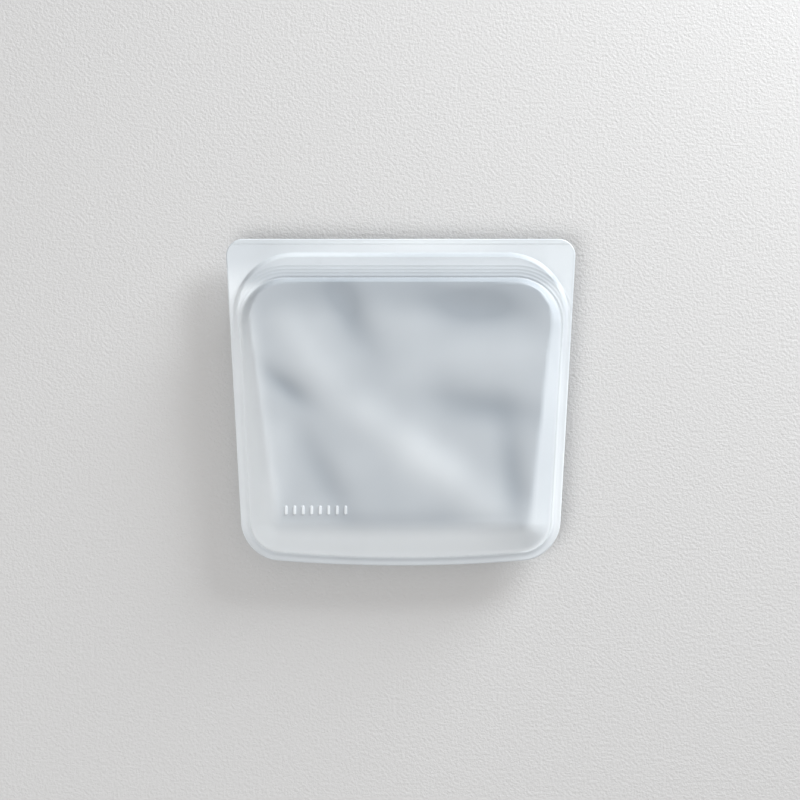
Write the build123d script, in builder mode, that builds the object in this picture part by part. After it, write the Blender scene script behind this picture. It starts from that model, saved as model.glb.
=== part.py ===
"""Reusable silicone food bag, lying on its back with its seal closed.

Two moulded silicone halves are bonded face to face round both sides and the bottom. Across the mouth a pair of
ribs on the front half presses into a pair of grooves on the back half, and a lip on each half is pulled to open it.
Silicone flexes where it likes; here each half is divided along the lines where the mouth bends, so that the middle
of the mouth can fold open on either side while its corners stay bonded.

Frame: +X across the bag, +Y towards the mouth, +Z up through its thickness. The origin is the centre of the
outline, on the surface that the bag lies on. Units are millimetres.
"""

import os
from math import cos, radians, tan

from build123d import *

# Outline of the rim, seen from above
MOUTH_WIDTH = 191.2  # before its corners are rounded
BASE_WIDTH = 172.0  # likewise
LENGTH = 178.0
BASE_BOW = 4.5  # how far the bottom edge curves out below its two ends
MOUTH_CORNER = 9.0
BASE_CORNER = 20.0

# Thickness
DEPTH = 24.0
WALL = 1.2
BOND = 0.4  # thickness of the bond between the two rims
RIM = 5.4  # width of the flat rim outside the pocket

# Pocket, the raised part of each half
POCKET_TOP = 68.0
POCKET_BASE = -80.2
POCKET_BOW = 4.2
POCKET_MOUTH_CORNER = 24.0
POCKET_BASE_CORNER = 15.0
POCKET_TAPER = 40.0  # degrees that its side walls lean in
POCKET_ROUND = 8.0  # outer radius where the side walls turn into the face

# Seal band, the low raised strip between the pocket and the lips
BAND_TOP = 80.5
BAND_CORNER = 35.0
BAND_HALF_WIDTH = 90.5
BAND_HEIGHT = 3.4  # outer face, from the plane where the halves meet
BAND_FOOT = 26.0  # where the band's sides have run in under the pocket
BAND_FOOT_HALF_WIDTH = 81.0
BAND_ROUND = 0.9

# Mouth panels, the middle of each half's upper end, which fold open
HINGE_Y = 43.0
HINGE_GAP = 0.3
PANEL_HALF_WIDTH = 46.0
SLIT = 0.3  # between a mouth panel and the corner beside it

# Seal
RIB_PITCH = 3.6
SEAL_Y = 72.0  # middle of the two ribs
RIB_ROOT = 1.4
RIB_TIP = 0.9
RIB_HEIGHT = 1.4
RIB_ROUND = 0.3
GROOVE_WIDTH = 2.3
GROOVE_FLOOR = 0.7
STRIP_MARGIN = 3.8  # from the middle of the seal to each edge of its strips
STRIP_GAP = 0.2  # between the faces of the two strips
SEAL_END_WIDTH = 2.3
SEAL_END_TURN = 50.0  # degrees that the fused ends follow the corner round

# Bond
LIP_FREE_HALF_WIDTH = 72.0  # the lips are free of each other inside this
BASE_SEAM_TOP = -66.0

# Raised mark on the front face: a plain row of upright bars
MARK_CENTRE = (-46.0, -58.5)
MARK_BARS = 8
MARK_PITCH = 4.6
MARK_BAR_WIDTH = 1.6
MARK_BAR_LENGTH = 5.0
MARK_RISE = 0.3

# Worked out from these
MIDDLE = DEPTH / 2
RIM_HEIGHT = BOND / 2 + WALL
BAND_INSIDE = BAND_HEIGHT - WALL
HALF_LENGTH = LENGTH / 2
BASE_Y = BASE_BOW - HALF_LENGTH
SIDE_SLOPE = (MOUTH_WIDTH - BASE_WIDTH) / 2 / (HALF_LENGTH - BASE_Y)
# The pocket's inner wall starts this far inside its outer outline, at the plane of the rim's inner face.
POCKET_INSET = WALL / cos(radians(POCKET_TAPER)) - WALL * tan(radians(POCKET_TAPER))
OVERCUT = 1.0


def half_width(y):
    """Half the rim's width at a distance y up the bag."""
    return MOUTH_WIDTH / 2 - SIDE_SLOPE * (HALF_LENGTH - y)


def tapered_outline(top, top_half_width, base, base_half_width, bow, top_corner, base_corner):
    """A flat shape with a straight top, leaning sides and a base that bows out, all corners rounded."""
    top_right, base_right = (top_half_width, top), (base_half_width, base)
    top_left, base_left = (-top_half_width, top), (-base_half_width, base)
    with BuildSketch() as shape:
        with BuildLine():
            Line(top_left, base_left)
            ThreePointArc(base_left, (0, base - bow), base_right)
            Line(base_right, top_right)
            Line(top_right, top_left)
        make_face()
        fillet(shape.vertices().group_by(Axis.Y)[-1], top_corner)
        fillet(shape.vertices().group_by(Axis.Y)[0], base_corner)
    return shape.sketch


def rim_outline():
    return tapered_outline(
        HALF_LENGTH, MOUTH_WIDTH / 2, BASE_Y, BASE_WIDTH / 2, BASE_BOW, MOUTH_CORNER, BASE_CORNER
    )


def pocket_outline(inset=0.0):
    """The pocket's outline where it rises from the rim, or that outline moved in."""
    outline = tapered_outline(
        POCKET_TOP,
        half_width(POCKET_TOP) - RIM,
        POCKET_BASE,
        half_width(POCKET_BASE) - RIM,
        POCKET_BOW,
        POCKET_MOUTH_CORNER,
        POCKET_BASE_CORNER,
    )
    if not inset:
        return outline
    with BuildSketch() as smaller:
        offset(outline, amount=-inset)
    return smaller.sketch


def band_outline(inset=0.0):
    """The seal band's outline: wide round shoulders whose sides run in under the pocket."""
    top, half, corner = BAND_TOP - inset, BAND_HALF_WIDTH - inset, BAND_CORNER - inset
    foot = BAND_FOOT_HALF_WIDTH - inset
    shoulder = top - corner
    with BuildSketch() as shape:
        with BuildLine():
            RadiusArc((corner - half, top), (-half, shoulder), -corner)
            Polyline((-half, shoulder), (-foot, BAND_FOOT), (foot, BAND_FOOT), (half, shoulder))
            RadiusArc((half, shoulder), (half - corner, top), -corner)
            Line((half - corner, top), (corner - half, top))
        make_face()
    return shape.sketch


def level(height):
    """The plane this far above the plane where the two halves meet."""
    return Plane.XY.offset(MIDDLE + height)


def top_edges(builder):
    return builder.faces().sort_by(Axis.Z)[-1].edges()


def front_half():
    """The whole front moulding: rim, seal band and pocket, hollow from behind."""
    with BuildPart() as hollow:
        with BuildSketch(level(BOND / 2 - OVERCUT)):
            add(band_outline(WALL))
        extrude(amount=BAND_INSIDE - BOND / 2 + OVERCUT)
        with BuildSketch(level(BOND / 2 - OVERCUT)):
            add(pocket_outline(POCKET_INSET))
        extrude(amount=OVERCUT)
        with BuildSketch(level(BOND / 2)):
            add(pocket_outline(POCKET_INSET))
        extrude(amount=MIDDLE - WALL - BOND / 2, taper=POCKET_TAPER)
        fillet(top_edges(hollow), POCKET_ROUND - WALL)

    with BuildPart() as band:
        with BuildSketch(level(BOND / 2)):
            add(band_outline())
        extrude(amount=BAND_HEIGHT - BOND / 2)
        fillet(top_edges(band), BAND_ROUND)

    with BuildPart() as pocket:
        with BuildSketch(level(RIM_HEIGHT)):
            add(pocket_outline())
        extrude(amount=MIDDLE - RIM_HEIGHT, taper=POCKET_TAPER)
        fillet(top_edges(pocket), POCKET_ROUND)

    with BuildPart() as moulding:
        with BuildSketch(level(BOND / 2)):
            add(rim_outline())
        extrude(amount=WALL)
        fillet(top_edges(moulding), WALL / 2)
        add(band.part)
        add(pocket.part)
        add(hollow.part, mode=Mode.SUBTRACT)
    return moulding.part


def region(low_x, high_x, low_y, high_y):
    """A block through the whole thickness of the bag, to cut a moulding with."""
    with BuildPart() as block:
        with BuildSketch(Plane.XY.offset(-OVERCUT)):
            with Locations(((low_x + high_x) / 2, (low_y + high_y) / 2)):
                Rectangle(high_x - low_x, high_y - low_y)
        extrude(amount=DEPTH + 2 * OVERCUT)
    return block.part


def cut_from(moulding, block):
    with BuildPart() as piece:
        add(moulding)
        add(block, mode=Mode.INTERSECT)
    return piece.part


def half_pieces(moulding, side):
    """One moulding divided into its wall, its two corners, its mouth panel and its lip."""
    edge, corner_edge = PANEL_HALF_WIDTH, PANEL_HALF_WIDTH + SLIT
    panel_base = HINGE_Y + HINGE_GAP
    return {
        f"{side}_wall": cut_from(moulding, region(-MOUTH_WIDTH, MOUTH_WIDTH, -LENGTH, HINGE_Y)),
        f"{side}_corner_left": cut_from(moulding, region(-MOUTH_WIDTH, -corner_edge, HINGE_Y, LENGTH)),
        f"{side}_corner_right": cut_from(moulding, region(corner_edge, MOUTH_WIDTH, HINGE_Y, LENGTH)),
        f"{side}_mouth_panel": cut_from(moulding, region(-edge, edge, panel_base, BAND_TOP)),
        f"{side}_lip": cut_from(moulding, region(-edge, edge, BAND_TOP, LENGTH)),
    }


def strip(low_height, high_height, low_y, high_y):
    """A straight bar of silicone along the mouth panel, between two heights and two distances up the bag."""
    with BuildPart() as bar:
        with BuildSketch(level(low_height)):
            with Locations((0, (low_y + high_y) / 2)):
                Rectangle(2 * PANEL_HALF_WIDTH, high_y - low_y)
        extrude(amount=high_height - low_height)
    return bar.part


def seal_rib(centre_y):
    """One rib under the front strip, narrower and rounded at its tip."""
    root, tip = STRIP_GAP / 2, STRIP_GAP / 2 - RIB_HEIGHT
    with BuildPart() as rib:
        with BuildSketch(Plane.YZ.offset(-PANEL_HALF_WIDTH)) as profile:
            with BuildLine():
                Polyline(
                    (centre_y - RIB_ROOT / 2, MIDDLE + root),
                    (centre_y + RIB_ROOT / 2, MIDDLE + root),
                    (centre_y + RIB_TIP / 2, MIDDLE + tip),
                    (centre_y - RIB_TIP / 2, MIDDLE + tip),
                    close=True,
                )
            make_face()
            fillet(profile.vertices().group_by(Axis.Z)[0], RIB_ROUND)
        extrude(amount=2 * PANEL_HALF_WIDTH)
    return rib.part


def seal_pieces():
    """The press-together seal: a strip with two ribs on the front, a strip with three rails on the back."""
    low_rib, high_rib = SEAL_Y - RIB_PITCH / 2, SEAL_Y + RIB_PITCH / 2
    low_edge, high_edge = SEAL_Y - STRIP_MARGIN, SEAL_Y + STRIP_MARGIN
    face, floor = -STRIP_GAP / 2, GROOVE_FLOOR - BAND_INSIDE
    half_groove = GROOVE_WIDTH / 2
    return {
        "rib_strip": strip(STRIP_GAP / 2, BAND_INSIDE, low_edge, high_edge),
        "seal_rib_lower": seal_rib(low_rib),
        "seal_rib_upper": seal_rib(high_rib),
        "groove_strip": strip(-BAND_INSIDE, floor, low_edge, high_edge),
        "groove_rail_lower": strip(floor, face, low_edge, low_rib - half_groove),
        "groove_rail_middle": strip(floor, face, low_rib + half_groove, high_rib - half_groove),
        "groove_rail_upper": strip(floor, face, high_rib + half_groove, high_edge),
    }


def seal_end_right():
    """The end of the seal, where each rib is fused into its groove and follows the corner of the band."""
    centre_x, centre_y = BAND_HALF_WIDTH - BAND_CORNER, BAND_TOP - BAND_CORNER
    start_x = PANEL_HALF_WIDTH + SLIT
    with BuildPart() as end:
        with BuildSketch(level(-BAND_INSIDE)):
            for rib_y in (SEAL_Y - RIB_PITCH / 2, SEAL_Y + RIB_PITCH / 2):
                with BuildLine() as path:
                    straight = Line((start_x, rib_y), (centre_x, rib_y))
                    CenterArc((centre_x, centre_y), rib_y - centre_y, 90, -SEAL_END_TURN)
                trace(path.line, line_width=SEAL_END_WIDTH)
        extrude(amount=2 * BAND_INSIDE)
    return end.part


def seams():
    """The bond between the two rims: down each side and across the bottom."""
    with BuildPart() as bond:
        with BuildSketch(level(-BOND / 2)):
            add(rim_outline())
            add(pocket_outline(POCKET_INSET), mode=Mode.SUBTRACT)
            add(band_outline(WALL), mode=Mode.SUBTRACT)
            with Locations((0, LENGTH / 2)):
                Rectangle(2 * LIP_FREE_HALF_WIDTH, LENGTH, mode=Mode.SUBTRACT)
        extrude(amount=BOND)
    return {
        "left_seam": cut_from(bond.part, region(-MOUTH_WIDTH, 0, BASE_SEAM_TOP, LENGTH)),
        "right_seam": cut_from(bond.part, region(0, MOUTH_WIDTH, BASE_SEAM_TOP, LENGTH)),
        "base_seam": cut_from(bond.part, region(-MOUTH_WIDTH, MOUTH_WIDTH, -LENGTH, BASE_SEAM_TOP)),
    }


def raised_mark():
    """A plain row of raised upright bars near the lower left corner of the front face."""
    with BuildPart() as mark:
        with BuildSketch(Plane.XY.offset(DEPTH)):
            with Locations(MARK_CENTRE):
                with GridLocations(MARK_PITCH, 0, MARK_BARS, 1):
                    SlotOverall(MARK_BAR_LENGTH, MARK_BAR_WIDTH, rotation=90)
        extrude(amount=MARK_RISE)
    return mark.part


def mirrored(shape, plane):
    with BuildPart() as image:
        mirror(shape, about=plane, mode=Mode.ADD)
    return image.part


front = front_half()
back = mirrored(front, level(0))
right_end = seal_end_right()
pieces = {
    **half_pieces(front, "front"),
    **half_pieces(back, "back"),
    **seal_pieces(),
    **seams(),
    "seal_end_right": right_end,
    "seal_end_left": mirrored(right_end, Plane.YZ),
    "raised_mark": raised_mark(),
}

os.makedirs("parts", exist_ok=True)
for name, piece in pieces.items():
    piece.label = name
    export_step(piece, f"parts/{name}.step")
    print(name, "solids", len(piece.solids()), "volume", round(piece.volume))
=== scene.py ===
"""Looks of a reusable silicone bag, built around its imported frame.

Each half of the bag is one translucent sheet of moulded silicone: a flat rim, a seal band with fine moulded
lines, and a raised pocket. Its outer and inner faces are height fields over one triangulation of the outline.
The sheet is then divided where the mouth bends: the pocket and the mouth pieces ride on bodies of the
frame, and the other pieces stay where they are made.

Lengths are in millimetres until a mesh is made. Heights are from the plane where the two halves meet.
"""

from math import atan2, cos, hypot, pi, radians, sin

import bpy
import numpy as np
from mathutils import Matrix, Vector, noise
from mathutils.geometry import delaunay_2d_cdt


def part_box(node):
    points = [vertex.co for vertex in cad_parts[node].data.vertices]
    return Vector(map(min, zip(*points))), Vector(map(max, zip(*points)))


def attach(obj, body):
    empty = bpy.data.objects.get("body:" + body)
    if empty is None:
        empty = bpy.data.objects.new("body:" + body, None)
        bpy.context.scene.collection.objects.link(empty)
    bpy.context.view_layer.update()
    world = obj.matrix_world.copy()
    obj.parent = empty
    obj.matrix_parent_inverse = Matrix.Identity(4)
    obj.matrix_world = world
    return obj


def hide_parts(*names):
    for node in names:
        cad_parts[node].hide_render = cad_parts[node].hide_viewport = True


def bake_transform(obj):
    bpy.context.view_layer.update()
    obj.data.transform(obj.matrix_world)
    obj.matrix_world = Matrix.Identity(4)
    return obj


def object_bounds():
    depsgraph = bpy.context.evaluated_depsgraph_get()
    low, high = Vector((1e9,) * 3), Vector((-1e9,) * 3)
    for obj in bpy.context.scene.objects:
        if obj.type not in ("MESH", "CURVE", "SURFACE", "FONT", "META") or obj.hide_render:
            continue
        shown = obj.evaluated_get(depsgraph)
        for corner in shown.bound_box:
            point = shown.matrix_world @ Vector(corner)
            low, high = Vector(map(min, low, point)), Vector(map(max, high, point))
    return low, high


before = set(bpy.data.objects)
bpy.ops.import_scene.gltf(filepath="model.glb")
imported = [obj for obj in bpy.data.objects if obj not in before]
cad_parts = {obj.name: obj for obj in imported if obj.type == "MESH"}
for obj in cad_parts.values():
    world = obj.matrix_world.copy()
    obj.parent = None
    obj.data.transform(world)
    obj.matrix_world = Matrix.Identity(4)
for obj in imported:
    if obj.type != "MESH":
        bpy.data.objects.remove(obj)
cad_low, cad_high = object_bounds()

MM = 0.001

# ---------------------------------------------------------------- sizes that come from the frame

FRONT_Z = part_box("front_wall")[1].z / MM
BACK_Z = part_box("back_wall")[0].z / MM
MIDDLE = (FRONT_Z + BACK_Z) / 2
PLATEAU = FRONT_Z - MIDDLE
LIP_Y = cad_high.y / MM
BASE_Y = cad_low.y / MM
RIM_X = cad_high.x / MM
MARK_LOW, MARK_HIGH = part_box("raised_mark")

# ---------------------------------------------------------------- the moulding's own sizes

WALL = 1.25
RIM = 1.4  # outer face of the rim
EDGE_ROUND = 0.7  # of the rim's edge
LIP_GAP = 0.1  # each lip's inner face, from the middle plane
BAND = 3.4  # outer face of the seal band
FACE_EDGE = {"front": 10.4, "back": 11.3}  # the pocket's face, at its edge
FACE_CROWN = {"front": 1.3, "back": 1.9}  # and how much further out it is at its middle
LIP_BEAD = 0.25  # along the edge of each lip, between these distances from it
LIP_BEAD_INNER = (3.4, 2.4)
LIP_BEAD_OUTER = (0.7, 0.1)

# Outlines: corner radii are given for the upper and then the lower corners
CORNER_LEAN = 0.6  # the rim's sides would meet its top this far outside its box
BASE_HALF = 86.0
BASE_BOW = 4.5
RIM_CORNERS = (9.0, 20.0)
POCKET_MARGIN = 5.4  # from the rim's sides
POCKET_TOP = 68.0
POCKET_BASE = -80.0
POCKET_BOW = 4.3
POCKET_CORNERS = (25.0, 15.0)
BAND_TOP = 81.2
BAND_MARGIN = 2.4  # from the rim's sides and base
BAND_CORNERS = (33.0, 18.0)
BAND_BASE = -82.8
BAND_FADE = (20.0, 62.0)  # the band dies away to a faint step down the sides between these
BAND_STEP = 0.2  # the share of its height that is left there
BAND_EDGE = (-0.6, 2.4)  # its edge rises between these, measured inwards from its outline
BAND_INSIDE_EDGE = (-0.6, 1.4)

# The pocket's walls, seen from above: how wide they are, and how softly they turn into the face. Sizes named
# for a direction are added at that edge of the pocket, and taken away at the opposite one.
POCKET_HALF_X = 85.0
POCKET_HALF_Y = 78.0
SIDE_WALL = 7.3
SIDE_WALL_RIGHT = 0.9
SIDE_WALL_TOP = -4.056
END_WALL = 7.6
END_WALL_TOP = -6.4
SIDE_TURN = 3.2
SIDE_TURN_RIGHT = -1.7
END_TURN = 3.6
END_TURN_TOP = -1.6

# Where each half is divided, along lines where the bag bends: the fold across each half, and the shoulder at
# each side of the mouth
FOLD_LOW = 30.0
FOLD_HIGH = 56.0
SHOULDER_OUT = 80.0
SHOULDER_IN = 44.0

# Fine lines moulded into the band: (distance outside the pocket's foot, height, half width)
BAND_LINES = ((0.9, 0.16, 0.5), (2.9, 0.08, 0.45), (4.6, 0.08, 0.45), (6.6, 0.11, 0.5))
CREST_IN = 1.0  # the band's raised edge
CREST_RISE = 0.22
CREST_HALF_WIDTH = 0.8
FOOT_OUT = 0.6  # the low bead along the pocket's foot, where the band has died away
FOOT_RISE = 0.4
FOOT_HALF_WIDTH = 0.5

# Seal, as a shape drawn across the mouth: its two ribs stand this far outside the pocket's foot
RIB_OUT = (2.2, 5.8)
SEAL_MIDDLE = sum(RIB_OUT) / 2
SEAL_LOW = 0.2 - SEAL_MIDDLE  # the edges and the ribs of the seal, from its middle
SEAL_HIGH = 7.8 - SEAL_MIDDLE
RIBS = [out - SEAL_MIDDLE for out in RIB_OUT]
SEAL_ROOF = BAND - WALL + 0.15  # its strips go this far from the middle plane, just into the bands
SEAL_END_X = 78.0

# Soft buckles of the face: (x, y, turn in degrees, half length, half width, rise)
BUCKLES = (
    (-50.0, 26.0, -52.0, 26.0, 10.0, 0.6),
    (8.0, -26.0, -36.0, 52.0, 12.0, 0.9),
    (-62.0, 9.0, -38.0, 17.0, 6.0, -1.0),
    (-28.0, 50.0, -62.0, 22.0, 9.0, -0.9),
    (40.0, 51.0, -6.0, 30.0, 10.0, -1.1),
    (44.0, -2.0, -8.0, 34.0, 10.0, -0.8),
    (-40.0, -40.0, -60.0, 26.0, 8.0, -0.7),
    (61.0, -38.0, -82.0, 30.0, 8.0, -0.9),
    (-4.0, -66.0, 0.0, 60.0, 6.0, -0.5),
    (52.0, 26.0, 0.0, 30.0, 9.0, 0.3),
    (-70.0, -40.0, 84.0, 34.0, 9.0, 0.6),
)
BUCKLE_SHARE = 0.8  # of those rises
UNEVENNESS = 0.25  # of the face between the buckles
UNEVEN_LENGTH = 24.0

MARK_BARS = 8
MARK_RISE = 0.4
MARK_GAP = 1.875  # between the bars, as a share of a bar's width

# Spacing of the points that the two faces are drawn over
EDGE_STEP = 1.1
CUT_STEP = 0.4
LINE_STEP = 1.2
WALL_STEP = 1.4
DETAIL_STEP = 0.3
OPEN_STEP = 2.4
NEAREST = 0.22
RIM_DEPTHS = (0.12, 0.35, 0.75, 1.5, 2.3, 2.8, 3.4, 4.2)
WALL_DEPTHS = (-1.4, -0.6, 0.0, 0.6, 1.2, 2.0, 3.0, 4.2, 5.5, 7, 8.5, 10, 11.5, 13.5)

# How white the silicone looks, from 0 where it is clear to 1 where it is white, with painted light and shade
# laid into it where a name says painted. Those named for a place within a part are added to that part's own.
FACE_MILK = 0.35
# painted shade over the top of the face
FACE_TOP_PAINTED_SHADE = -0.2
DENT_PAINTED_SHADING = 0.36  # painted light and shade, added for each millimetre that the face bulges: lighter on bulges, darker in dents
# The walls: partly their own whiteness, seen slanting through more silicone, and partly painted light
# standing in for light that shines through the bag
WALL_MILK_AND_PAINTED_GLOW = 1.0
# painted shade on the top wall
WALL_TOP_PAINTED_SHADE = -0.95
# painted shade that tones down the key light on the right wall
WALL_RIGHT_PAINTED_SHADE = -0.5
PAINTED_GLOW_MILK = 0.4  # painted glow, added where the walls turn softly into the face
# painted highlight, a white line along the pocket's foot
FOOT_PAINTED_HIGHLIGHT = 0.5
BAND_MILK = 0.4
BAND_TOP_MILK = 0.25
# painted shade toning down the light that the band's crest catches on its lit side
CREST_PAINTED_SHADE = -0.33
RIM_MILK = 0.94
# painted shade on the rim towards the base, where the bag's shadow lies under it
RIM_BASE_PAINTED_SHADE = -0.3
RIM_RIGHT_MILK = -0.17
RIM_LEFT_MILK = -0.34
# painted shade toning down the light that the rim's edge catches on its lit upper right side
RIM_EDGE_PAINTED_SHADE = -0.3
# painted shade, a darker line in the crease just outside the pocket's foot, mostly towards the base
FOOT_CREASE_PAINTED_SHADE = -0.22
MARK_MILK = 0.6
SEAL_MILK = 0.7
CLEAR = (0.40, 0.445, 0.49)
SEAL_CLEAR = (0.50, 0.55, 0.60)
WHITE = (0.925, 0.97, 1.0)


def smooth(value, low, high):
    t = np.clip((value - low) / (high - low), 0, 1)
    return t * t * (3 - 2 * t)


def soft_min(a, b, width):
    near = np.maximum(width - np.abs(a - b), 0) / width
    return np.minimum(a, b) - near * near * width / 4


def soft_max(a, b, width):
    return -soft_min(-a, -b, width)


def ridge(offset, half_width):
    """1 on a line, and falling away smoothly on both sides of it."""
    return np.exp(-((offset / half_width) ** 2))


# ---------------------------------------------------------------- outlines


def rim_half_width(y):
    """Half the rim's width at a height y up the bag."""
    top = RIM_X + CORNER_LEAN
    return top - (top - BASE_HALF) * (LIP_Y - y) / (LIP_Y - BASE_Y - BASE_BOW)


def rounded(corners, radii, step=3.0):
    """A closed outline through these corners, anticlockwise, each rounded, with its long edges divided."""
    count, outline = len(corners), []
    for i in range(count):
        here, before, after = (np.array(corners[k % count], float) for k in (i, i - 1, i + 1))
        to_before = (before - here) / np.linalg.norm(before - here)
        to_after = (after - here) / np.linalg.norm(after - here)
        half_angle = np.arccos(np.clip(to_before @ to_after, -1, 1)) / 2
        reach = radii[i] / np.tan(half_angle)
        bisector = (to_before + to_after) / np.linalg.norm(to_before + to_after)
        centre = here + bisector * radii[i] / np.sin(half_angle)
        first, last = here + to_before * reach - centre, here + to_after * reach - centre
        start = atan2(first[1], first[0])
        turn = (atan2(last[1], last[0]) - start) % (2 * pi)
        pieces = max(2, int(turn / radians(3.5)))
        for k in range(pieces + 1):
            angle = start + turn * k / pieces
            outline.append(centre + radii[i] * np.array((cos(angle), sin(angle))))
    divided = []
    for a, b in zip(outline, outline[1:] + outline[:1]):
        steps = max(1, int(np.linalg.norm(b - a) / step))
        divided.extend(a + (b - a) * k / steps for k in range(steps))
    return np.array(divided)


def bowed(outline, half, depth):
    """The outline with its base pushed out into a shallow curve."""
    share = np.clip(1 - (outline[:, 0] / half) ** 2, 0, 1) * smooth(-outline[:, 1], 0, -BASE_Y - BASE_BOW)
    return outline - np.stack((np.zeros(len(outline)), depth * share), 1)


def tapered(top, base, margin, corner_radii, bow):
    """An outline that keeps this margin from the rim's sides, with rounded corners and a bowed base."""
    top_half, base_half = rim_half_width(top) - margin, rim_half_width(base) - margin
    corners = ((-base_half, base), (base_half, base), (top_half, top), (-top_half, top))
    radii = (corner_radii[1], corner_radii[1], corner_radii[0], corner_radii[0])
    return bowed(rounded(corners, radii), base_half, bow)


RIM_LINE = tapered(LIP_Y, BASE_Y + BASE_BOW, 0.0, RIM_CORNERS, BASE_BOW)
POCKET_LINE = tapered(POCKET_TOP, POCKET_BASE, POCKET_MARGIN, POCKET_CORNERS, POCKET_BOW)
BAND_LINE = tapered(BAND_TOP, BAND_BASE, BAND_MARGIN, BAND_CORNERS, POCKET_BOW)


def depth_inside(points, outline, batch=6000):
    """How far each point is inside a closed outline, negative outside."""
    a, b = outline, np.roll(outline, -1, axis=0)
    along = b - a
    length2 = np.maximum((along**2).sum(1), 1e-12)
    found = np.empty(len(points))
    for i in range(0, len(points), batch):
        p = points[i : i + batch, None, :]
        rel = p - a[None]
        t = np.clip((rel * along[None]).sum(2) / length2, 0, 1)
        gap2 = ((rel - t[..., None] * along[None]) ** 2).sum(2)
        crosses = (a[None, :, 1] > p[..., 1]) != (b[None, :, 1] > p[..., 1])
        at = a[None, :, 0] + (p[..., 1] - a[None, :, 1]) * along[None, :, 0] / np.where(
            np.abs(along[None, :, 1]) < 1e-12, 1e-12, along[None, :, 1]
        )
        inside = (crosses & (p[..., 0] < at)).sum(1) % 2 == 1
        found[i : i + batch] = np.sqrt(gap2.min(1)) * np.where(inside, 1, -1)
    return found


# ---------------------------------------------------------------- the heights of one half


def crown(x, y):
    """1 at the middle of the pocket's face and 0 at its edges."""
    return np.clip(1 - (x / 84) ** 2, 0, 1) * np.clip(1 - ((y + 7) / 78) ** 2, 0, 1)


def dents(x, y):
    """Soft buckles of the face, and the fainter unevenness between them."""
    spots = (Vector((px / UNEVEN_LENGTH, py / UNEVEN_LENGTH, 3.1)) for px, py in zip(x, y))
    total = UNEVENNESS * np.array([noise.noise(spot) for spot in spots])
    for at_x, at_y, turn, length, width, rise in BUCKLES:
        along = (x - at_x) * cos(radians(turn)) + (y - at_y) * sin(radians(turn))
        across = (y - at_y) * cos(radians(turn)) - (x - at_x) * sin(radians(turn))
        total = total + rise * np.exp(-((along / length) ** 2) - (across / width) ** 2)
    return total


def face_height(x, y, side):
    """The pocket's face: buckled at the front, and flattened at the back where the bag rests on it."""
    face = FACE_EDGE[side] + FACE_CROWN[side] * crown(x, y)
    if side == "front":
        return face + BUCKLE_SHARE * dents(x, y) * smooth(crown(x, y), 0.0, 0.25)
    return soft_min(face, np.full(len(x), PLATEAU), 0.8)


def sideways(x, y):
    """1 beside the pocket's left and right walls, 0 beside its top and base."""
    across = (np.abs(x) / POCKET_HALF_X) ** 4
    up = (np.abs(y + 8) / 77) ** 4 * (1 + 1.5 * smooth(y, -10, 70))
    return across / np.maximum(across + up, 1e-9)


def slope_width(x, y):
    """Width, seen from above, of the pocket's wall: steep at its top, and leaning most at its base."""
    share = sideways(x, y)
    beside = SIDE_WALL + SIDE_WALL_RIGHT * x / POCKET_HALF_X + SIDE_WALL_TOP * y / POCKET_HALF_Y
    at_ends = END_WALL + END_WALL_TOP * y / POCKET_HALF_Y
    return share * beside + (1 - share) * at_ends


def shoulder(x, y):
    """How softly the wall turns into the face: sharpest at the right, softest at the left and the base."""
    share = sideways(x, y)
    beside = SIDE_TURN + SIDE_TURN_RIGHT * x / POCKET_HALF_X
    at_ends = END_TURN + END_TURN_TOP * y / POCKET_HALF_Y
    return share * beside + (1 - share) * at_ends


def mark_height(x, y):
    """A plain row of upright bars with round ends and soft edges."""
    low, high = np.array(MARK_LOW) / MM, np.array(MARK_HIGH) / MM
    width = (high[0] - low[0]) / (MARK_BARS + (MARK_BARS - 1) * MARK_GAP)
    pitch = (high[0] - low[0] - width) / (MARK_BARS - 1)
    nearest = np.clip(np.round((x - low[0] - width / 2) / pitch), 0, MARK_BARS - 1)
    across = x - (low[0] + width / 2 + nearest * pitch)
    middle, reach = (low[1] + high[1]) / 2, (high[1] - low[1] - width) / 2
    along = y - middle
    from_middle = np.hypot(across, along - np.clip(along, -reach, reach))
    return MARK_RISE * (1 - smooth(from_middle, width / 2 - 0.3, width / 2 + 0.15))


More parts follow.
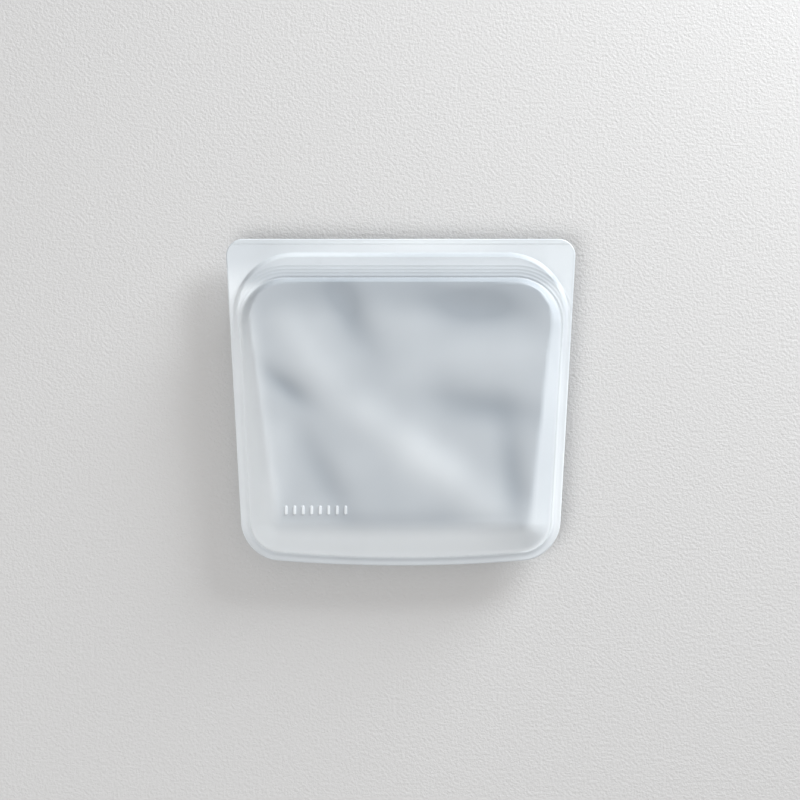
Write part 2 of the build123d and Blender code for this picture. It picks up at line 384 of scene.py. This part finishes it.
def heights(points, side):
    """(outer height, inner height) of one half's sheet at each point.

    A factor such as smooth(y, 30, 66) lets a detail in between those two places up the bag.
    """
    x, y = points[:, 0], points[:, 1]
    in_rim = depth_inside(points, RIM_LINE)
    in_pocket = depth_inside(points, POCKET_LINE)
    in_band = depth_inside(points, BAND_LINE)
    steep = (FACE_EDGE[side] - RIM) / slope_width(x, y)
    face = face_height(x, y, side)

    banded = BAND_STEP + (1 - BAND_STEP) * smooth(y, *BAND_FADE)
    band = RIM + (BAND - RIM) * smooth(in_band, *BAND_EDGE) * banded
    outer = soft_max(band, soft_min(RIM + in_pocket * steep, face, shoulder(x, y)), 1.6)
    lines = CREST_RISE * ridge(in_band - CREST_IN, CREST_HALF_WIDTH) * smooth(y, 30, 66)
    for out, rise, half_width in BAND_LINES:
        lines += rise * ridge(in_pocket + out, half_width) * smooth(y, 28, 60)
    lines += FOOT_RISE * ridge(in_pocket + FOOT_OUT, FOOT_HALF_WIDTH) * (1 - banded)
    edge = np.clip(EDGE_ROUND - in_rim, 0, EDGE_ROUND)
    outer = outer + lines - (EDGE_ROUND - np.sqrt(EDGE_ROUND**2 - edge**2))
    bead = smooth(LIP_Y - y, *LIP_BEAD_INNER) * (1 - smooth(LIP_Y - y, *LIP_BEAD_OUTER))
    outer = outer + LIP_BEAD * bead * smooth(in_rim, 0.0, 0.6)
    if side == "front":
        outer = outer + mark_height(x, y)

    # The inner face is a wall's thickness in, and meets the other half's where the two are bonded
    lean = np.sqrt(1 + steep**2)
    band_inside = (BAND - WALL) * smooth(in_band - WALL, *BAND_INSIDE_EDGE) * smooth(y, 52, 68)
    pocket_inside = soft_min(RIM + in_pocket * steep - WALL * lean, face - WALL, 2.4)
    free_lip = LIP_GAP * (1 - smooth(np.abs(x), SHOULDER_OUT - 12, SHOULDER_OUT)) * smooth(y, 70, 76)
    inner = np.maximum(np.maximum(band_inside, pocket_inside), free_lip)
    return outer, np.where(inner < 1e-4, 0.0, inner)


# ---------------------------------------------------------------- one triangulation for both halves


def evenly(outline, step):
    """Points a step apart along a closed outline, and the direction that points into it at each."""
    closed = np.vstack((outline, outline[:1]))
    run = np.concatenate(([0], np.cumsum(np.linalg.norm(np.diff(closed, axis=0), axis=1))))
    count = int(run[-1] / step)
    at = np.arange(count) * run[-1] / count
    points = np.stack([np.interp(at, run, closed[:, k]) for k in (0, 1)], 1)
    along = np.roll(points, -2, axis=0) - np.roll(points, 2, axis=0)
    along /= np.linalg.norm(along, axis=1)[:, None]
    return points, np.stack((-along[:, 1], along[:, 0]), 1)


def rows(outline, depths, step):
    """Rows of points at these depths inside an outline."""
    points, inward = evenly(outline, step)
    return np.vstack([points + inward * d for d in depths])


def grid(low, high, step):
    """A grid of points, with every other row shifted by half a step."""
    xs = np.arange(low[0], high[0] + 1e-6, step)
    ys = np.arange(low[1], high[1] + 1e-6, step)
    return np.array([(x + (0.5 * step if j % 2 else 0), y) for j, y in enumerate(ys) for x in xs])


def cell_of(p, gap):
    return int(p[0] // gap), int(p[1] // gap)


def is_clear(p, cells, gap):
    """Whether a point is at least a gap away from all those kept in cells, each cell a gap wide."""
    column, row = cell_of(p, gap)
    near = (q for i in (-1, 0, 1) for j in (-1, 0, 1) for q in cells.get((column + i, row + j), ()))
    return all((q[0] - p[0]) ** 2 + (q[1] - p[1]) ** 2 >= gap * gap for q in near)


def thin(sets, gap):
    """The points of several sets, in order, leaving out those too near one already taken."""
    cells, kept = {}, []
    for p in (p for points in sets for p in points):
        if is_clear(p, cells, gap):
            cells.setdefault(cell_of(p, gap), []).append(p)
            kept.append(p)
    return np.array(kept)


def clear_of(points, others, gap):
    """Those of the points that are at least a gap away from all the others."""
    cells = {}
    for p in others:
        cells.setdefault(cell_of(p, gap), []).append(p)
    return np.array([p for p in points if is_clear(p, cells, gap)])


def cut_lines():
    """The lines along which each half is divided into pieces that move differently."""
    inner, outer = SHOULDER_IN, SHOULDER_OUT
    lines = [((-outer, FOLD_LOW), (outer, FOLD_LOW)), ((-inner, FOLD_HIGH), (inner, FOLD_HIGH))]
    for sign in (-1, 1):
        lines.append(((sign * outer, FOLD_LOW), (sign * outer, LIP_Y)))
        lines.append(((sign * inner, FOLD_HIGH), (sign * inner, LIP_Y)))
        lines.append(((sign * inner, FOLD_HIGH), (sign * outer, FOLD_LOW)))
    return lines


def triangulation():
    """Points and triangles over the rim's outline, finer where the moulding has detail."""
    edge, _ = evenly(RIM_LINE, EDGE_STEP)
    on_cuts = []
    for a, b in cut_lines():
        steps = int(hypot(b[0] - a[0], b[1] - a[1]) / CUT_STEP)
        on_cuts.extend(np.array(a) + (np.array(b) - np.array(a)) * k / steps for k in range(steps + 1))
    on_cuts = np.array(on_cuts)
    on_cuts = on_cuts[depth_inside(on_cuts, RIM_LINE) > 0.4]

    rim_rows = rows(RIM_LINE, RIM_DEPTHS, EDGE_STEP)
    wall_rows = rows(POCKET_LINE, WALL_DEPTHS, WALL_STEP)
    line_rows = rows(POCKET_LINE, np.arange(0.2, 7.0, DETAIL_STEP) * -1, LINE_STEP)
    line_rows = line_rows[line_rows[:, 1] > 26]
    band_rows = rows(BAND_LINE, np.arange(-0.9, 3.0, DETAIL_STEP), LINE_STEP)
    band_rows = band_rows[depth_inside(band_rows, POCKET_LINE) < 0.3]
    mark = grid(np.array(MARK_LOW)[:2] / MM - 0.8, np.array(MARK_HIGH)[:2] / MM + 0.8, DETAIL_STEP)
    fine = [s[depth_inside(s, RIM_LINE) > 0.05] for s in (line_rows, band_rows, rim_rows, wall_rows, mark)]
    kept = thin([edge, on_cuts] + fine, NEAREST)
    coarse = grid((-96, -90), (96, 90), OPEN_STEP)
    coarse = coarse[depth_inside(coarse, RIM_LINE) > 1.2]
    kept = np.vstack((kept, clear_of(coarse, kept, 1.5)))

    edge_pairs = [(i, (i + 1) % len(edge)) for i in range(len(edge))]
    points = [Vector(p) for p in kept]
    for a, b in cut_lines():
        edge_pairs.append((len(points), len(points) + 1))
        points.extend((Vector(a), Vector(b)))
    found = delaunay_2d_cdt(points, edge_pairs, [], 1, 1e-5)
    return np.array([tuple(p) for p in found[0]]), np.array(found[2])


PLAN, TRIANGLES = triangulation()


def region_of(centre):
    """Which piece a triangle belongs to, by the way that part of the half moves."""
    x, y = centre
    if y < FOLD_LOW or abs(x) > SHOULDER_OUT:
        return "pocket"
    across = (SHOULDER_OUT - abs(x)) / (SHOULDER_OUT - SHOULDER_IN)
    up = (y - FOLD_LOW) / (FOLD_HIGH - FOLD_LOW)
    if across > 1 and up > 1:
        return "mouth"
    if up < across:
        return "fold"
    return "shoulder_left" if x < 0 else "shoulder_right"


REGIONS = np.array([region_of(PLAN[t].mean(0)) for t in TRIANGLES])


def slopes(points, side, step=0.04):
    """The gradients of the outer and the inner heights."""
    gradients = []
    for shift in ((step, 0.0), (0.0, step)):
        ahead, behind = heights(points + shift, side), heights(points - shift, side)
        gradients.append([(a - b) / (2 * step) for a, b in zip(ahead, behind)])
    return [np.stack((gradients[0][k], gradients[1][k]), 1) for k in (0, 1)]


def border(triangles):
    """The directed edges that only one triangle has."""
    edges = {edge: True for a, b, c in triangles for edge in ((a, b), (b, c), (c, a))}
    return [edge for edge in edges if (edge[1], edge[0]) not in edges]


def make_piece(name, vertices, faces, milk_and_painted_light, material, normals=None):
    """A smooth piece of silicone, from its points in millimetres and how white it is at each, painted light
    and shade included.
    """
    mesh = bpy.data.meshes.new(name)
    mesh.from_pydata([tuple(c * MM for c in v) for v in vertices], [], faces)
    mesh.polygons.foreach_set("use_smooth", [True] * len(mesh.polygons))
    attribute = mesh.attributes.new("milk_and_painted_light", "FLOAT", "POINT")
    attribute.data.foreach_set("value", np.asarray(milk_and_painted_light, np.float32))
    if normals is not None:
        mesh.normals_split_custom_set_from_vertices([tuple(n) for n in normals])
    mesh.materials.append(material)
    piece = bpy.data.objects.new(name, mesh)
    bpy.context.scene.collection.objects.link(piece)
    return piece


def pocket_milk(x, y, in_pocket):
    """How white the pocket is: its walls most, with painted shade at the top and the right, and its face
    least; a painted glow, a painted highlight and painted light and shade are laid in.
    """
    share = sideways(x, y)
    width = slope_width(x, y)
    soft = shoulder(x, y)
    topside = (1 - share) * smooth(y, 0, 20)
    rightside = share * smooth(x, 0, 60)
    painted_glow = share * smooth(-x, 0, 70) + (1 - share) * smooth(-y, 20, 70)  # painted glow over the left and base shoulders
    # painted shade on the top wall, and painted shade toning down the key light on the right wall
    wall = WALL_MILK_AND_PAINTED_GLOW + WALL_TOP_PAINTED_SHADE * topside + WALL_RIGHT_PAINTED_SHADE * rightside
    # painted highlight along the pocket's foot, fainter at the top and the right, where the key light falls
    foot = FOOT_PAINTED_HIGHLIGHT * ridge(in_pocket - 0.3, 0.8) * (1 - 0.6 * topside) * (1 - 0.8 * rightside)
    # painted light and shade over the buckles, and painted shade near the top of the face
    face = FACE_MILK + DENT_PAINTED_SHADING * dents(x, y) + FACE_TOP_PAINTED_SHADE * smooth(y, 42, 62)
    # painted glow along the left and base shoulders
    face = face + PAINTED_GLOW_MILK * painted_glow * (1 - smooth(in_pocket, width - 1, width + 10))
    return wall + (face - wall) * smooth(in_pocket, width - soft, width + 0.7 * soft) + foot


def rim_milk(x, y, in_rim, in_pocket, in_band):
    """How white the rim and the seal band are, with painted shade towards the base, in the crease outside the
    pocket's foot, and over the light that the rim's lit edge and the band's crest catch; the rim is also
    clearer at its lower right and upper left.
    """
    # painted shade, a darker line in the crease just outside the pocket's foot, mostly towards the base
    groove = FOOT_CREASE_PAINTED_SHADE * (1 - 0.8 * sideways(x, y)) * smooth(-y, -20, 10)
    rim = RIM_MILK + groove * ridge(in_pocket + 1.7, 0.8)
    # painted shade towards the base; the rim is also clearer at the lower right
    rim = rim + RIM_BASE_PAINTED_SHADE * smooth(-y, 60, 84) + RIM_RIGHT_MILK * smooth(x, 0, 70) * smooth(y, -80, 0)
    rim = rim + RIM_LEFT_MILK * smooth(-x, -20, 90) * smooth(y, 60, 80)
    # painted shade toning down the light that the rim's edge catches on its lit upper right side
    rim = rim + RIM_EDGE_PAINTED_SHADE * (1 - smooth(in_rim, 0.2, 1.2)) * smooth(x + y, 0, 80) * smooth(y, 0, 60)
    band = BAND_MILK + BAND_TOP_MILK * smooth(y, 69, 79)
    # painted shade toning down the light that the crest catches on its lit side
    crest_painted_shade = CREST_PAINTED_SHADE * ridge(in_band - CREST_IN, 1.3) * smooth(x + y, 0, 120) * smooth(y, 0, 60)
    return rim + (band - rim) * smooth(y, 60, 68) * smooth(in_band, -1.2, 0.3) + crest_painted_shade


def milkiness(points, side):
    """How white the silicone looks, with painted light and shade laid in: more where it is thick, steep or
    doubled, less over the open pocket.

    As in heights(), factors such as smooth(y, 60, 84) let a change in between two places on the bag.
    """
    in_rim = depth_inside(points, RIM_LINE)
    in_pocket = depth_inside(points, POCKET_LINE)
    in_band = depth_inside(points, BAND_LINE)
    x, y = points[:, 0], points[:, 1]
    inside = pocket_milk(x, y, in_pocket)
    outside = rim_milk(x, y, in_rim, in_pocket, in_band)
    milk_and_painted_light = outside + (inside - outside) * smooth(in_pocket, -0.4, 0.5)
    if side == "front":
        milk_and_painted_light = milk_and_painted_light + MARK_MILK * mark_height(x, y) / MARK_RISE
    return np.clip(milk_and_painted_light, 0, 1)


def build_half(side, material):
    """The pieces of one half, by region.

    Points and normals are worked out for the whole half, so that neighbouring pieces meet without a seam. The
    outer face's points come first, then the inner face's, in the same order.
    """
    outer, inner = heights(PLAN, side)
    outer_slope, inner_slope = slopes(PLAN, side)
    sign = 1 if side == "front" else -1
    count = len(PLAN)

    def placed(height):
        return np.column_stack((PLAN, MIDDLE + sign * height))

    def facing(slope, outward):
        normal = np.column_stack((-slope, np.ones(count)))
        normal /= np.linalg.norm(normal, axis=1)[:, None]
        normal[:, 2] *= sign
        return normal * outward

    vertices = np.vstack((placed(outer), placed(inner)))
    normals = np.vstack((facing(outer_slope, 1), facing(inner_slope, -1)))
    rim_edges = border(TRIANGLES)
    for a, b in rim_edges:
        out = np.array((PLAN[b][1] - PLAN[a][1], PLAN[a][0] - PLAN[b][0], 0.0))
        out /= np.linalg.norm(out)
        for i in (a, b):
            normals[i] = out * 0.8 + np.array((0, 0, 0.6 * sign))
    milk_and_painted_light = np.tile(milkiness(PLAN, side), 2)
    open_inside = (inner[TRIANGLES] > 0).any(1)
    region_of_edge = {}
    for t, r in zip(TRIANGLES, REGIONS):
        for e in ((t[0], t[1]), (t[1], t[2]), (t[2], t[0])):
            region_of_edge[tuple(e)] = r

    made = {}
    for region in ("pocket", "fold", "mouth", "shoulder_left", "shoulder_right"):
        chosen = REGIONS == region
        outer_faces = [tuple(t) for t in TRIANGLES[chosen]]
        inner_faces = [(a + count, c + count, b + count) for a, b, c in TRIANGLES[chosen & open_inside]]
        own_edges = [edge for edge in rim_edges if region_of_edge[edge] == region]
        edge_faces = [(b, a, a + count, b + count) for a, b in own_edges]
        faces = outer_faces + inner_faces + edge_faces
        if sign < 0:
            faces = [f[::-1] for f in faces]
        used = sorted({int(i) for f in faces for i in f})
        index = {old: new for new, old in enumerate(used)}
        faces = [tuple(index[int(i)] for i in f) for f in faces]
        name = f"{side}_{region}_skin"
        made[region] = make_piece(name, vertices[used], faces, milk_and_painted_light[used], material, normals[used])
    return made


# ---------------------------------------------------------------- seal


def seal_route(out, low_x, high_x, step=1.5):
    """Points along a line outside the pocket's foot, between two places across the mouth, left to right."""
    points, inward = evenly(POCKET_LINE, step)
    line = points - inward * out
    line = line[(line[:, 1] > 52) & (line[:, 0] > low_x) & (line[:, 0] < high_x)]
    return line[np.argsort(line[:, 0])]


def swept(name, route, profile, material, closed):
    """A bar of silicone with this profile, drawn as (outward, height) points, along a route.

    Its ends are closed where asked, and left open where another bar carries on from them.
    """
    along = np.gradient(route, axis=0)
    along /= np.linalg.norm(along, axis=1)[:, None]
    out = np.stack((-along[:, 1], along[:, 0]), 1)
    count = len(profile)
    vertices = [
        (p[0] + n[0] * u, p[1] + n[1] * u, MIDDLE + h) for p, n in zip(route, out) for u, h in profile
    ]
    faces = []
    for i in range(len(route) - 1):
        for k in range(count):
            a, b = i * count + k, i * count + (k + 1) % count
            faces.append((a, a + count, b + count, b))
    if closed[0]:
        faces.append(tuple(range(count)))
    if closed[1]:
        faces.append(tuple((len(route) - 1) * count + k for k in reversed(range(count))))
    return make_piece(name, vertices, faces, np.full(len(vertices), SEAL_MILK), material)


def rib_profile():
    """The ribbed strip under the front band: two ribs with round heads, pointing into the back."""
    head = [(0.72 * cos(a), -0.95 + 0.45 * sin(a)) for a in np.linspace(pi * 1.1, pi * 1.9, 7)]
    rib = [(-0.95, 0.35), (-0.55, 0.1), (-0.5, -0.45)] + head + [(0.5, -0.45), (0.55, 0.1), (0.95, 0.35)]
    profile = [(SEAL_LOW, SEAL_ROOF), (SEAL_LOW, 0.75), (SEAL_LOW + 0.35, 0.4)]
    for middle in RIBS:
        profile += [(middle + across, up) for across, up in rib]
    return profile + [(SEAL_HIGH - 0.35, 0.4), (SEAL_HIGH, 0.75), (SEAL_HIGH, SEAL_ROOF)]


def groove_profile():
    """The grooved strip over the back band: three rails with rounded tops, and two grooves between."""
    bed = -1.62  # of each groove
    half = 1.0  # of a groove's width
    top, side_top, bevel = -0.12, -0.45, 0.25  # of each rail
    rails = ((RIBS[1] + half, SEAL_HIGH), (RIBS[0] + half, RIBS[1] - half), (SEAL_LOW, RIBS[0] - half))
    profile = [(SEAL_HIGH, -SEAL_ROOF)]
    for low, high in rails:
        profile += [(high, side_top), (high - bevel, top), (low + bevel, top), (low, side_top)]
        if low != SEAL_LOW:
            far = low - 2 * half
            profile += [(low, bed + 0.2), (low - 0.2, bed), (far + 0.2, bed), (far, bed + 0.2)]
    return profile + [(SEAL_LOW, -SEAL_ROOF)]


def build_seal(material):
    """The ribs and the grooves, each in three bars that meet where the mouth's shoulders end."""
    far, near = SEAL_END_X, SHOULDER_IN
    made = {}
    for where, low_x, high_x in (("left", -far, -near), ("middle", -near, near), ("right", near, far)):
        route = seal_route(SEAL_MIDDLE, low_x - 1.4, high_x + 1.4)
        inside = route[(route[:, 0] > low_x + 0.2) & (route[:, 0] < high_x - 0.2)]
        first, last = (np.array([[x, np.interp(x, route[:, 0], route[:, 1])]]) for x in (low_x, high_x))
        line = np.vstack((first, inside, last))
        closed = (where == "left", where == "right")
        made["rib_" + where] = swept(f"seal_ribs_{where}", line, rib_profile(), material, closed)
        made["groove_" + where] = swept(f"seal_grooves_{where}", line, groove_profile(), material, closed)
    return made


# ---------------------------------------------------------------- materials


def node(tree, kind, **inputs):
    """A shader node with these inputs set."""
    made = tree.nodes.new(kind)
    for key, value in inputs.items():
        made.inputs[key.replace("_", " ")].default_value = value
    return made


def add_grain(tree, coords, shader, scale, detail, strength, distance):
    """Fine noise that bumps a material's surface."""
    grain = node(tree, "ShaderNodeTexNoise", Scale=scale, Detail=detail, Roughness=0.6)
    tree.links.new(coords.outputs["Object"], grain.inputs["Vector"])
    bump = node(tree, "ShaderNodeBump", Strength=strength, Distance=distance)
    tree.links.new(grain.outputs["Fac"], bump.inputs["Height"])
    tree.links.new(bump.outputs["Normal"], shader.inputs["Normal"])


def silicone(name, clear, roughness, transmission=0.3, cloudiness=0.08):
    """Frosted translucent silicone: bluish where clear, whiter where the sheet scatters more light, and
    lighter or darker where light and shade are painted into its whiteness.
    """
    material = bpy.data.materials.new(name)
    material.use_nodes = True
    tree = material.node_tree
    shader = tree.nodes["Principled BSDF"]
    shader.inputs["IOR"].default_value = 1.41
    shader.inputs["Transmission Weight"].default_value = transmission
    coords = tree.nodes.new("ShaderNodeTexCoord")
    milk_and_painted_light = tree.nodes.new("ShaderNodeAttribute")
    milk_and_painted_light.attribute_name = "milk_and_painted_light"

    clouds = node(tree, "ShaderNodeTexNoise", Scale=26.0, Detail=2.0, Roughness=0.5)
    tree.links.new(coords.outputs["Object"], clouds.inputs["Vector"])
    cloud_part = node(tree, "ShaderNodeMath")
    cloud_part.operation = "MULTIPLY_ADD"
    cloud_part.inputs[1].default_value = 2 * cloudiness
    cloud_part.inputs[2].default_value = -cloudiness
    tree.links.new(clouds.outputs["Fac"], cloud_part.inputs[0])
    share = node(tree, "ShaderNodeMath")
    share.operation = "ADD"
    share.use_clamp = True
    tree.links.new(milk_and_painted_light.outputs["Fac"], share.inputs[0])
    tree.links.new(cloud_part.outputs["Value"], share.inputs[1])
    tint = tree.nodes.new("ShaderNodeMix")
    tint.data_type = "RGBA"
    first_colour, second_colour = tint.inputs[6], tint.inputs[7]
    first_colour.default_value = (*clear, 1)
    second_colour.default_value = (*WHITE, 1)
    tree.links.new(share.outputs["Value"], tint.inputs["Factor"])
    tree.links.new(tint.outputs[2], shader.inputs["Base Color"])

    haze = node(tree, "ShaderNodeTexNoise", Scale=60.0, Detail=3.0, Roughness=0.6)
    tree.links.new(coords.outputs["Object"], haze.inputs["Vector"])
    satin = node(tree, "ShaderNodeMapRange")
    satin.inputs["To Min"].default_value = roughness - 0.05
    satin.inputs["To Max"].default_value = roughness + 0.05
    tree.links.new(haze.outputs["Fac"], satin.inputs["Value"])
    tree.links.new(satin.outputs["Result"], shader.inputs["Roughness"])

    add_grain(tree, coords, shader, scale=900.0, detail=2.0, strength=0.12, distance=0.0002)
    return material


def matte(name, colour):
    """A dull, finely pored surface."""
    material = bpy.data.materials.new(name)
    material.use_nodes = True
    tree = material.node_tree
    shader = tree.nodes["Principled BSDF"]
    shader.inputs["Base Color"].default_value = (*colour, 1)
    shader.inputs["Roughness"].default_value = 0.85
    coords = tree.nodes.new("ShaderNodeTexCoord")
    add_grain(tree, coords, shader, scale=620.0, detail=3.0, strength=0.4, distance=0.0012)
    return material


# ---------------------------------------------------------------- camera, floor and light


def build_camera():
    """Straight down on the bag, through a long lens, with the bag 43.6% as wide as the picture."""
    height = 1.6
    sensor = 36.0
    view_width = 2 * RIM_X * MM / 0.436
    camera_data = bpy.data.cameras.new("camera")
    camera_data.sensor_width = sensor
    camera_data.lens = sensor * (height - MIDDLE * MM) / view_width
    camera_data.clip_end = 20.0
    camera = bpy.data.objects.new("camera", camera_data)
    camera.location = (-0.0004, 0.0012, height)
    bpy.context.scene.collection.objects.link(camera)
    bpy.context.scene.camera = camera


def area_light(name, place, size, watts, colour):
    """A rectangular light that faces the bag."""
    data = bpy.data.lights.new(name, "AREA")
    data.shape = "RECTANGLE"
    data.size, data.size_y = size
    data.energy = watts
    data.color = colour
    light = bpy.data.objects.new(name, data)
    light.location = place
    light.rotation_euler = (-Vector(place)).to_track_quat("-Z", "Y").to_euler()
    bpy.context.scene.collection.objects.link(light)


def build_stage():
    """A pale surface, a low key light from the upper right, a soft fill from the lower left, and a sky."""
    half = 3.0
    mesh = bpy.data.meshes.new("floor")
    corners = [(-half, -half, 0), (half, -half, 0), (half, half, 0), (-half, half, 0)]
    mesh.from_pydata(corners, [], [(0, 1, 2, 3)])
    floor = bpy.data.objects.new("floor", mesh)
    floor.location.z = BACK_Z * MM - 0.0001
    bpy.context.scene.collection.objects.link(floor)
    floor.data.materials.append(matte("floor_matte", (0.56, 0.56, 0.56)))
    area_light("key", (0.78, 0.86, 0.31), (0.6, 0.5), 23.5, (0.965, 0.985, 1.0))
    area_light("fill", (-0.5, -0.46, 1.25), (1.0, 1.0), 9.4, (0.99, 1.0, 1.0))
    world = bpy.data.worlds.new("studio")
    world.use_nodes = True
    sky = world.node_tree.nodes["Background"]
    sky.inputs["Color"].default_value = (1.0, 0.97, 0.955, 1)
    sky.inputs["Strength"].default_value = 0.51
    bpy.context.scene.world = world
    bpy.context.scene.view_settings.view_transform = "Standard"


# ---------------------------------------------------------------- everything in its place

build_camera()
build_stage()
body_silicone = silicone("silicone", CLEAR, 0.42)
seal_silicone = silicone("seal_silicone", SEAL_CLEAR, 0.4)

STANDS_FOR = {
    "pocket": ["{0}_wall"],
    "fold": [],
    "mouth": ["{0}_mouth_panel", "{0}_lip"],
    "shoulder_left": ["{0}_corner_left"],
    "shoulder_right": ["{0}_corner_right"],
}
SEAL_STANDS_FOR = {
    "rib": ["rib_strip", "seal_rib_lower", "seal_rib_upper"],
    "groove": ["groove_strip", "groove_rail_lower", "groove_rail_middle", "groove_rail_upper"],
}
for side in ("front", "back"):
    mouth_body = f"{side}_mouth"
    halves = build_half(side, body_silicone)
    for region, piece in halves.items():
        named = [n.format(side) for n in STANDS_FOR[region]]
        if named:
            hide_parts(*named)
        if region == "pocket":
            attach(piece, "bag")
        elif region == "mouth":
            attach(piece, mouth_body)
        elif region == "fold":
            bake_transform(piece)
        else:
            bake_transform(piece)
    if side == "front":
        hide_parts("raised_mark", "left_seam", "right_seam", "base_seam")

for part, piece in build_seal(seal_silicone).items():
    kind, where = part.split("_")
    mouth_body = "front_mouth" if kind == "rib" else "back_mouth"
    if where == "middle":
        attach(piece, mouth_body)
        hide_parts(*SEAL_STANDS_FOR[kind])
    else:
        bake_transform(piece)
        if kind == "rib":
            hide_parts(f"seal_end_{where}")
